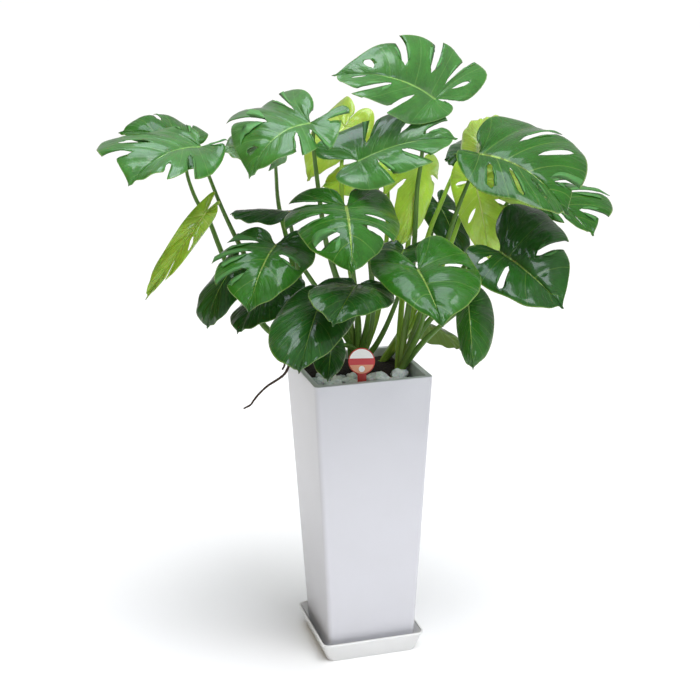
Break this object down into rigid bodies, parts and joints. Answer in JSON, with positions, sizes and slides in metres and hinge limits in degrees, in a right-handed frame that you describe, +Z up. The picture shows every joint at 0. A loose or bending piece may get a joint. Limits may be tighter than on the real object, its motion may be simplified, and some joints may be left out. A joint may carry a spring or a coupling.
{
  "type": "potted monstera",
  "caption": "Potted monstera: split and heart-shaped leaves on long upright petioles, in a tall tapered square white planter on a shallow square saucer.",
  "frame": {"origin": "middle of the saucer's flat underside, on the surface that the object stands on", "axes": "+Z up; the planter's sides lie along X and Y, and its front face, with the name tag behind it, looks towards -Y"},
  "size_m": [0.891, 0.5456, 1.0499],
  "materials": {
    "leaf_green": "gloss",
    "leaf_lime": "gloss",
    "leaf_olive": "satin",
    "leaf_pale": "satin",
    "petiole_green": "satin",
    "potting_soil": "matte",
    "root_brown": "matte",
    "tag_plastic": "satin",
    "white_glaze": "satin",
    "white_plastic": "satin",
    "white_stone": "satin"
  },
  "bodies": {
    "root": {"aerial_root_long": "root_brown", "aerial_root_short": "root_brown", "gravel": "white_stone", "leaf_bottom_left": "leaf_green", "leaf_centre": "leaf_green", "leaf_centre_right": "leaf_green", "leaf_far_left": "leaf_green", "leaf_far_left_back": "leaf_green", "leaf_far_right": "leaf_green", "leaf_front_left": "leaf_green", "leaf_front_left_centre": "leaf_green", "leaf_hanging_left": "leaf_lime", "leaf_inner_centre": "leaf_green", "leaf_inner_right": "leaf_green", "leaf_left_flat": "leaf_green", "leaf_left_inner": "leaf_green", "leaf_left_lower": "leaf_green", "leaf_low": "leaf_green", "leaf_low_right": "leaf_green", "leaf_low_right_under": "leaf_olive", "leaf_right": "leaf_green", "leaf_top": "leaf_green", "leaf_upper_left": "leaf_green", "leaf_upper_left_back": "leaf_pale", "leaf_upper_middle": "leaf_green", "leaf_upper_right": "leaf_green", "leaf_upper_right_back": "leaf_green", "leaf_young_centre": "leaf_lime", "leaf_young_right": "leaf_lime", "leaf_young_top_right": "leaf_lime", "leaf_young_upper_left": "leaf_lime", "leaf_young_upper_middle": "leaf_lime", "name_tag": "tag_plastic", "pot": "white_glaze", "saucer": "white_plastic", "soil": "potting_soil", "stem_back": "petiole_green", "stem_left": "petiole_green", "stem_middle": "petiole_green", "stem_right": "petiole_green"}
  },
  "joints": []
}
